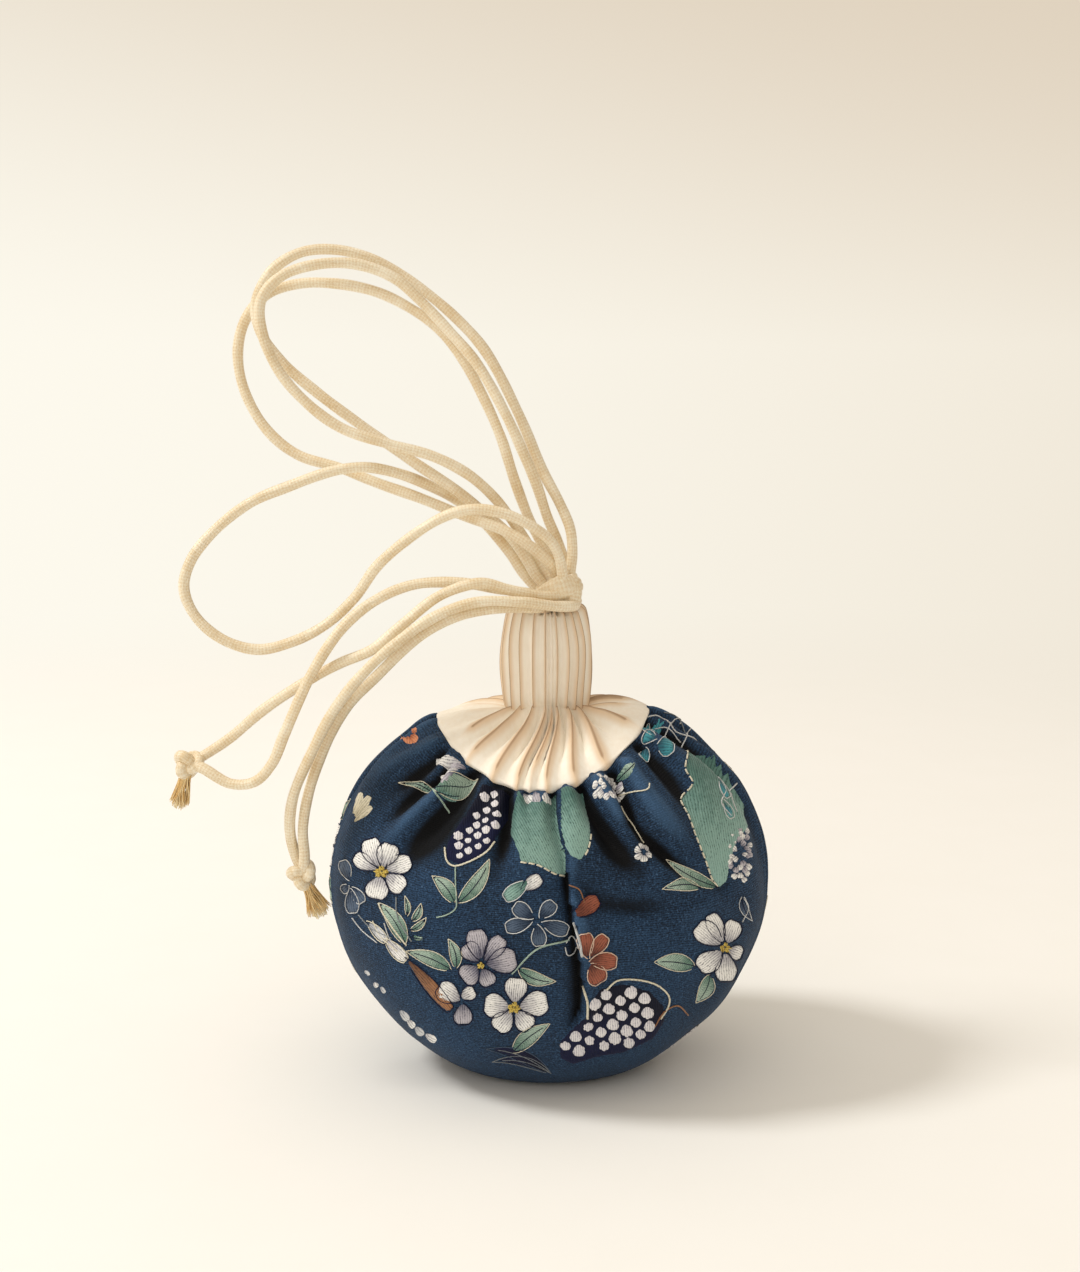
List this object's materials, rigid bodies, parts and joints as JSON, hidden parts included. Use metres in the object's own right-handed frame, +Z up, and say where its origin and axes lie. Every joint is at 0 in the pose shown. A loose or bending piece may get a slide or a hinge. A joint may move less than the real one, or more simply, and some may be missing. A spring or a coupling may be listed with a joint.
{
  "type": "kinchaku drawstring pouch",
  "caption": "Small round stuffed cloth pouch with a pleated cotton neck, drawn shut and tied with doubled satin drawcords in a bow.",
  "frame": {"origin": "middle of the underside that the pouch stands on", "axes": "+Z up through the neck, +X along the pouch's wide side, -Y towards the front"},
  "size_m": [0.1357, 0.076, 0.1906],
  "materials": {
    "brocade": "navy woven brocade with embroidered flowers, slight sheen",
    "collar_cotton": "matte cream cotton, pleated",
    "satin_cord": "satin braided cord, pale gold",
    "frayed_cord": "frayed cord threads, gold"
  },
  "bodies": {
    "root": {"pouch_body": "brocade", "neck_collar": "collar_cotton", "bow_knot": "satin_cord", "loop_outer": "satin_cord", "loop_middle": "satin_cord", "loop_inner": "satin_cord", "loop_low": "satin_cord", "tail_outer": "satin_cord", "tail_middle": "satin_cord", "tail_inner": "satin_cord", "tail_low": "satin_cord", "end_knot_left": "satin_cord", "end_knot_right": "satin_cord", "tassel_left": "frayed_cord", "tassel_right": "frayed_cord"}
  },
  "joints": []
}
